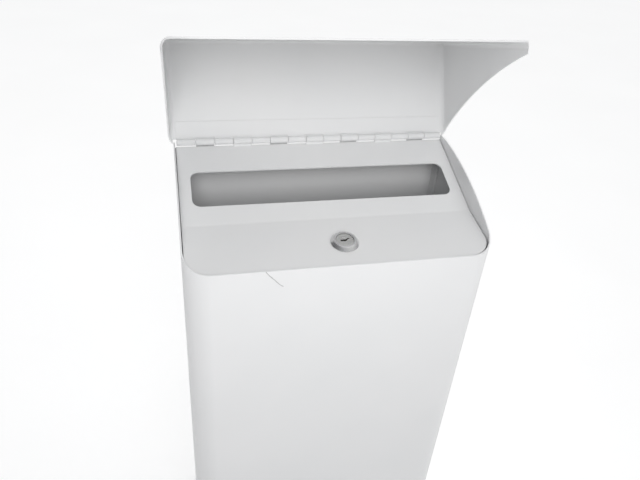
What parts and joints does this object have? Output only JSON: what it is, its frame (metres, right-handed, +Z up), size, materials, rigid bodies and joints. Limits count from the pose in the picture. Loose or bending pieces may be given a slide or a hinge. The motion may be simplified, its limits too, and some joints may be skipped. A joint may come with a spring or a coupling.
{
  "type": "dog waste bin",
  "caption": "Tall sheet-steel dog waste bin with a rounded front, a lockable sloping slot panel, a hinged hood lid and a lift-out liner.",
  "frame": {"origin": "middle of the underside of the base", "axes": "+Z up; the front of the bin faces -Y; +X is to the right of someone who faces the front"},
  "size_m": [0.31, 0.2158, 0.7045],
  "materials": {
    "white_paint": "white powder coat, satin",
    "galvanised": "galvanised sheet",
    "zinc": "bright zinc plate",
    "chrome": "polished",
    "nickel": "satin nickel",
    "grip": "moulded"
  },
  "bodies": {
    "bin": {"body_shell": "white_paint", "back_panel": "white_paint", "fixing_rails": "zinc", "base_plate": "white_paint", "front_ledge": "white_paint", "lock_strike": "zinc", "hinge_body_leaf": "white_paint", "hinge_pin": "zinc", "liner": "galvanised", "liner_ears": "galvanised"},
    "panel": {"slot_panel": "white_paint", "lock_body": "chrome", "lock_washer": "zinc", "lock_nut": "zinc"},
    "lid": {"lid_shell": "white_paint", "hinge_lid_leaf": "white_paint"},
    "lock_core": {"lock_plug": "nickel", "lock_cam": "zinc", "cam_screw": "zinc"},
    "bail": {"liner_handle": "zinc", "handle_grip": "grip"}
  },
  "joints": [
    {"name": "panel_hinge", "type": "hinge", "parent": "bin", "child": "panel", "pos_m": [0, 0.0814, 0.56], "axis": [-1, 0, 0], "range_deg": [0, 60]},
    {"name": "lid_hinge", "type": "hinge", "parent": "panel", "child": "lid", "pos_m": [0, 0.0814, 0.56], "axis": [-1, 0, 0], "range_deg": [-65, 5]},
    {"name": "lock_turn", "type": "hinge", "parent": "panel", "child": "lock_core", "pos_m": [0.003, -0.0536, 0.51345], "axis": [0, 0.1633, -0.9866], "range_deg": [0, 90]},
    {"name": "bail_swing", "type": "hinge", "parent": "bin", "child": "bail", "pos_m": [0, 0.003, 0.436], "axis": [1, 0, 0], "range_deg": [0, 147]}
  ]
}
